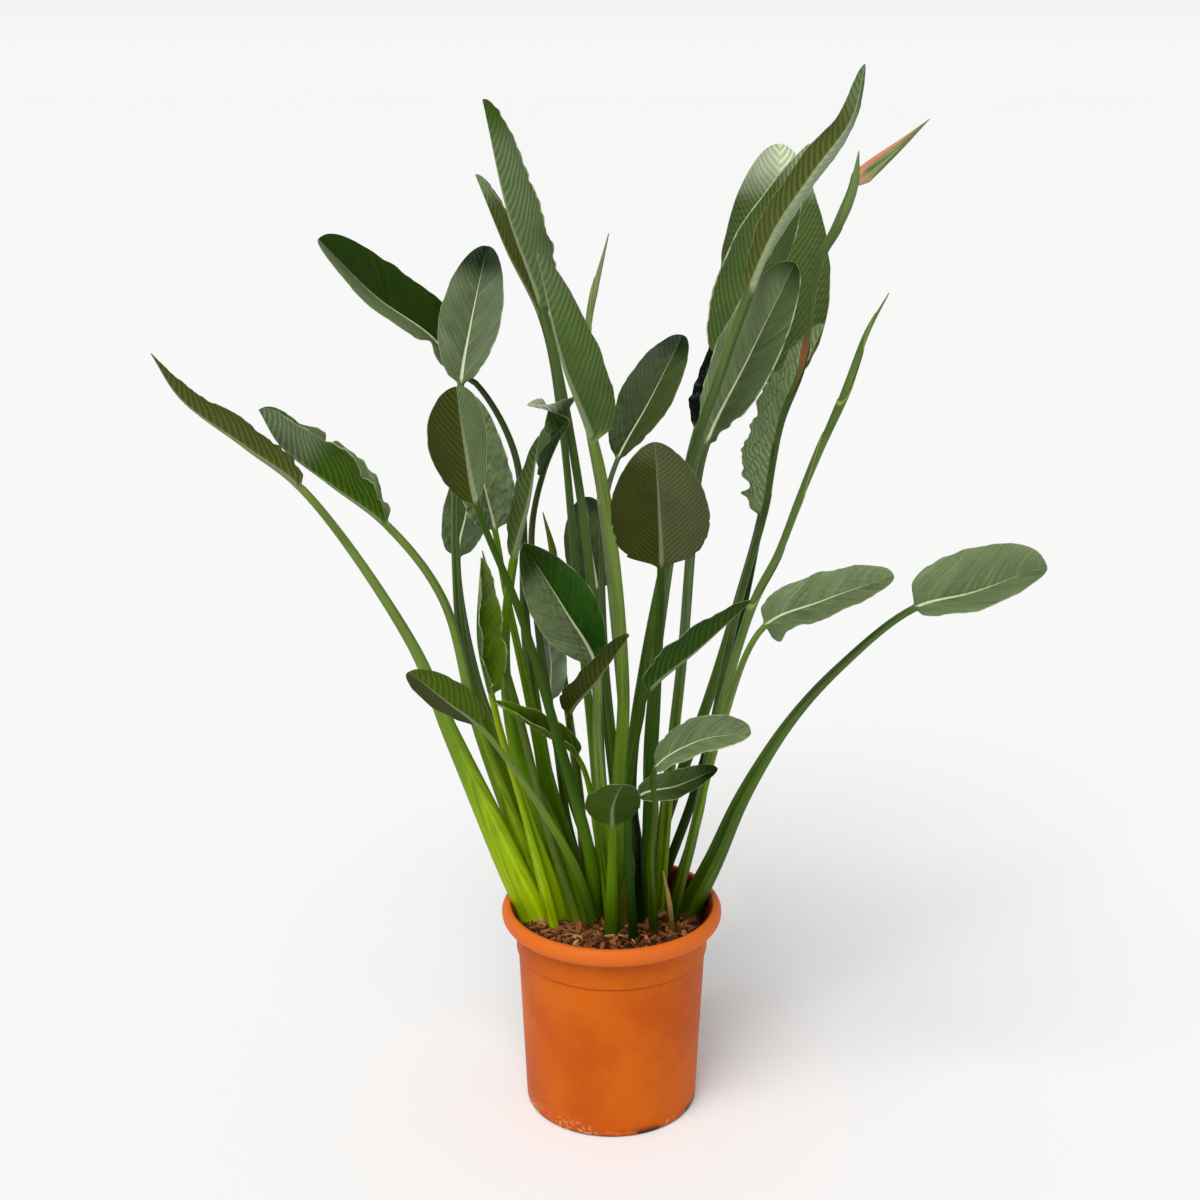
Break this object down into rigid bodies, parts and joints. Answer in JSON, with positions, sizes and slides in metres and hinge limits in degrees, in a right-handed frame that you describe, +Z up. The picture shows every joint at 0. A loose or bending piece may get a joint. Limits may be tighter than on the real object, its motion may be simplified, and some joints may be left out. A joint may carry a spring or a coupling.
{
  "type": "potted bird of paradise plant",
  "caption": "Bird of paradise plant with paddle leaves on long stalks, flower stalks and one beaked bud, standing in soil with bark chips in a round orange plastic nursery pot.",
  "frame": {"origin": "centre of the pot's flat underside", "axes": "+Z up, -Y towards the front of the plant, +X to the right as seen from the front"},
  "size_m": [1.0919, 0.6116, 1.3903],
  "materials": {
    "leaf": "leathery leaf: dark glossy green above with a pale midrib, lighter matte green below with fine side veins",
    "stalk": "smooth waxy green stalk with fine lengthwise lines",
    "flower": "smooth waxy bud, salmon orange along its upper edge and grey-green below",
    "dry_sheath": "dry papery sheath, pinkish tan",
    "soil": "dark potting mix covered with tan and brown bark chips",
    "pot": "moulded orange plastic with a fine grain, paler on the rolled rim and a little soiled at the foot"
  },
  "bodies": {
    "root": {"leaf_left_1": "leaf", "leaf_left_2": "leaf", "leaf_left_3": "leaf", "leaf_left_4": "leaf", "leaf_left_5": "leaf", "leaf_left_6": "leaf", "leaf_left_7": "leaf", "leaf_left_8": "leaf", "leaf_left_9": "leaf", "leaf_middle_1": "leaf", "leaf_middle_2": "leaf", "leaf_middle_3": "leaf", "leaf_middle_4": "leaf", "leaf_middle_5": "leaf", "leaf_middle_6": "leaf", "leaf_middle_7": "leaf", "leaf_middle_8": "leaf", "leaf_middle_9": "leaf", "leaf_centre_1": "leaf", "leaf_centre_2": "leaf", "leaf_centre_3": "leaf", "leaf_centre_4": "leaf", "leaf_centre_5": "leaf", "leaf_centre_6": "leaf", "leaf_right_1": "leaf", "leaf_right_2": "leaf", "leaf_right_3": "leaf", "leaf_right_4": "leaf", "leaf_right_5": "leaf", "leaf_right_6": "leaf", "leaf_right_7": "leaf", "leaf_right_8": "leaf", "leaf_right_9": "leaf", "flower_stalk_1": "stalk", "flower_stalk_2": "stalk", "flower_stalk_3": "stalk", "young_leaf_1": "stalk", "young_leaf_2": "stalk", "sheath_stub": "stalk", "dry_sheath": "dry_sheath", "flower_beak": "flower", "soil": "soil", "pot": "pot"}
  },
  "joints": []
}
